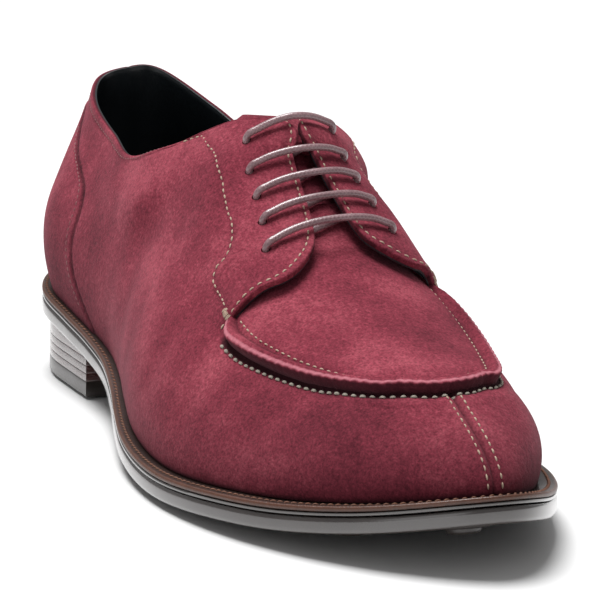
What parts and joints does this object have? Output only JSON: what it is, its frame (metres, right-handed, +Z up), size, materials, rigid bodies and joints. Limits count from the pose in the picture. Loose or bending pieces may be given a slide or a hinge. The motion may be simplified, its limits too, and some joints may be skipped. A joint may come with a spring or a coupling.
{
  "type": "split toe derby shoe",
  "caption": "Low laced dress shoe with a raised apron and split toe seam, open-laced side panels, a welted studded sole and a stacked heel; it stands empty on its sole.",
  "frame": {"origin": "centre of the shoe's plan box, on the floor that its studs stand on", "axes": "+X from the heel to the toe, +Y to the medial side, +Z up"},
  "size_m": [0.3037, 0.1096, 0.1039],
  "materials": {
    "suede": "burgundy suede",
    "lining": "smooth black lining leather",
    "welt": "dark brown waxed welt leather",
    "outsole": "semi-gloss black-brown rubber",
    "heel_leather": "polished dark brown stacked leather",
    "top_piece": "semi-gloss black-brown rubber",
    "nail": "worn brass",
    "lace": "round waxed cotton cord"
  },
  "bodies": {
    "root": {"outsole": "outsole", "midsole_welt": "welt", "heel_lift_1": "heel_leather", "heel_lift_2": "heel_leather", "heel_lift_3": "heel_leather", "heel_lift_4": "heel_leather", "heel_top_piece": "top_piece", "heel_nail_1": "nail", "heel_nail_2": "nail", "heel_nail_3": "nail", "heel_nail_4": "nail", "heel_nail_5": "nail", "heel_nail_6": "nail", "heel_nail_7": "nail", "heel_nail_8": "nail", "insole": "lining", "upper": "suede", "tongue": "suede", "laces": "lace"}
  },
  "joints": []
}
